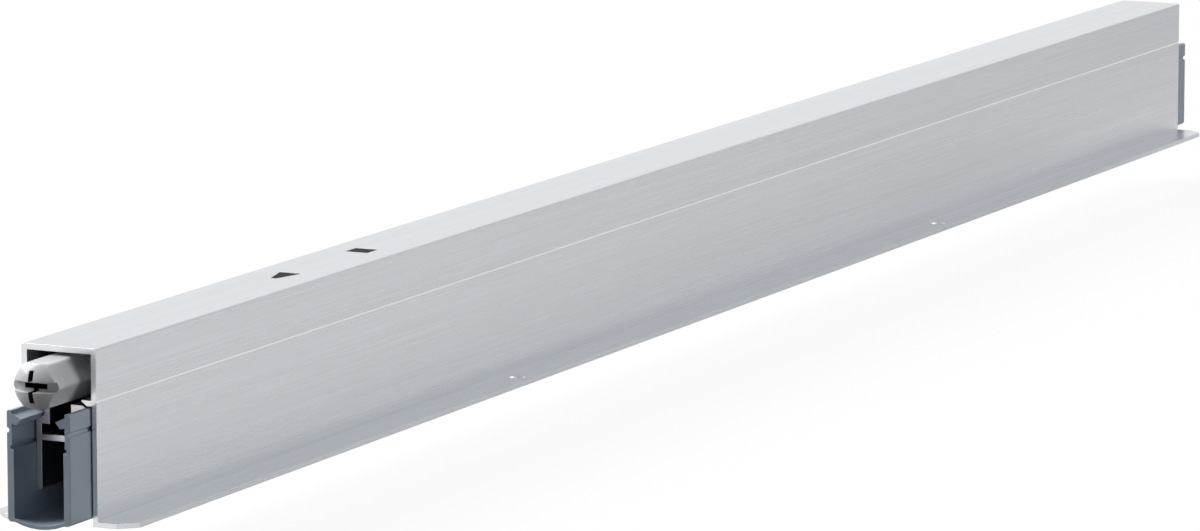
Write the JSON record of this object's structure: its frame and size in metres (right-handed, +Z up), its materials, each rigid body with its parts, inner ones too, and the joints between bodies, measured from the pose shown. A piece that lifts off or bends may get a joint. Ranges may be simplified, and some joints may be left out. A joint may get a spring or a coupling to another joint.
{
  "type": "automatic door bottom seal",
  "caption": "Drop-down door bottom seal: flanged aluminium channel with a spring-lifted silicone profile that a side button pushes down.",
  "frame": {"origin": "middle of the four flange screw holes, on the flanges' upper faces", "axes": "+X along the door, away from the release button; +Y through the door; +Z up into the door's groove"},
  "size_m": [0.5164, 0.0268, 0.0299],
  "materials": {
    "housing_aluminium": "satin anodised, drawn along its length",
    "carrier_aluminium": "mill finish, sawn end",
    "grey_silicone": "matt silicone",
    "button_plastic": "satin moulded",
    "insert_brass": "turned",
    "rod_steel": "drawn and plated",
    "rail_steel": "rolled",
    "dark_plastic": "moulded",
    "slider_plastic": "moulded",
    "spring_steel": "tempered",
    "screw_steel": "plated"
  },
  "bodies": {
    "housing_unit": {"housing": "housing_aluminium", "mechanism_rail": "rail_steel", "guide_block": "dark_plastic", "near_anchor_block": "dark_plastic", "far_anchor_block": "dark_plastic", "near_leaf_spring": "spring_steel", "far_leaf_spring": "spring_steel"},
    "seal_unit": {"silicone_seal": "grey_silicone", "carrier_profile": "carrier_aluminium", "near_spring_clip": "slider_plastic", "far_spring_clip": "slider_plastic"},
    "push_unit": {"push_rod": "rod_steel", "rod_stop_ring": "rod_steel", "near_slider": "slider_plastic", "far_slider": "slider_plastic", "slider_set_screws": "screw_steel"},
    "button_unit": {"release_button": "button_plastic", "button_insert": "insert_brass"}
  },
  "joints": [
    {"name": "seal_drop", "type": "slide", "parent": "housing_unit", "child": "seal_unit", "axis": [0, 0, -1], "range_m": [0, 0.012], "stiffness_N_per_m": 400, "springref_m": -0.012, "deforming": ["near_leaf_spring", "far_leaf_spring"]},
    {"name": "rod_push", "type": "slide", "parent": "housing_unit", "child": "push_unit", "axis": [1, 0, 0], "range_m": [0, 0.005]},
    {"name": "button_turn", "type": "hinge", "parent": "push_unit", "child": "button_unit", "pos_m": [-0.2455, 0, 0.02355], "axis": [1, 0, 0], "continuous": true}
  ],
  "couplings": [
    {"joint": "rod_push", "follows": "seal_drop", "ratio": 0.4166}
  ]
}
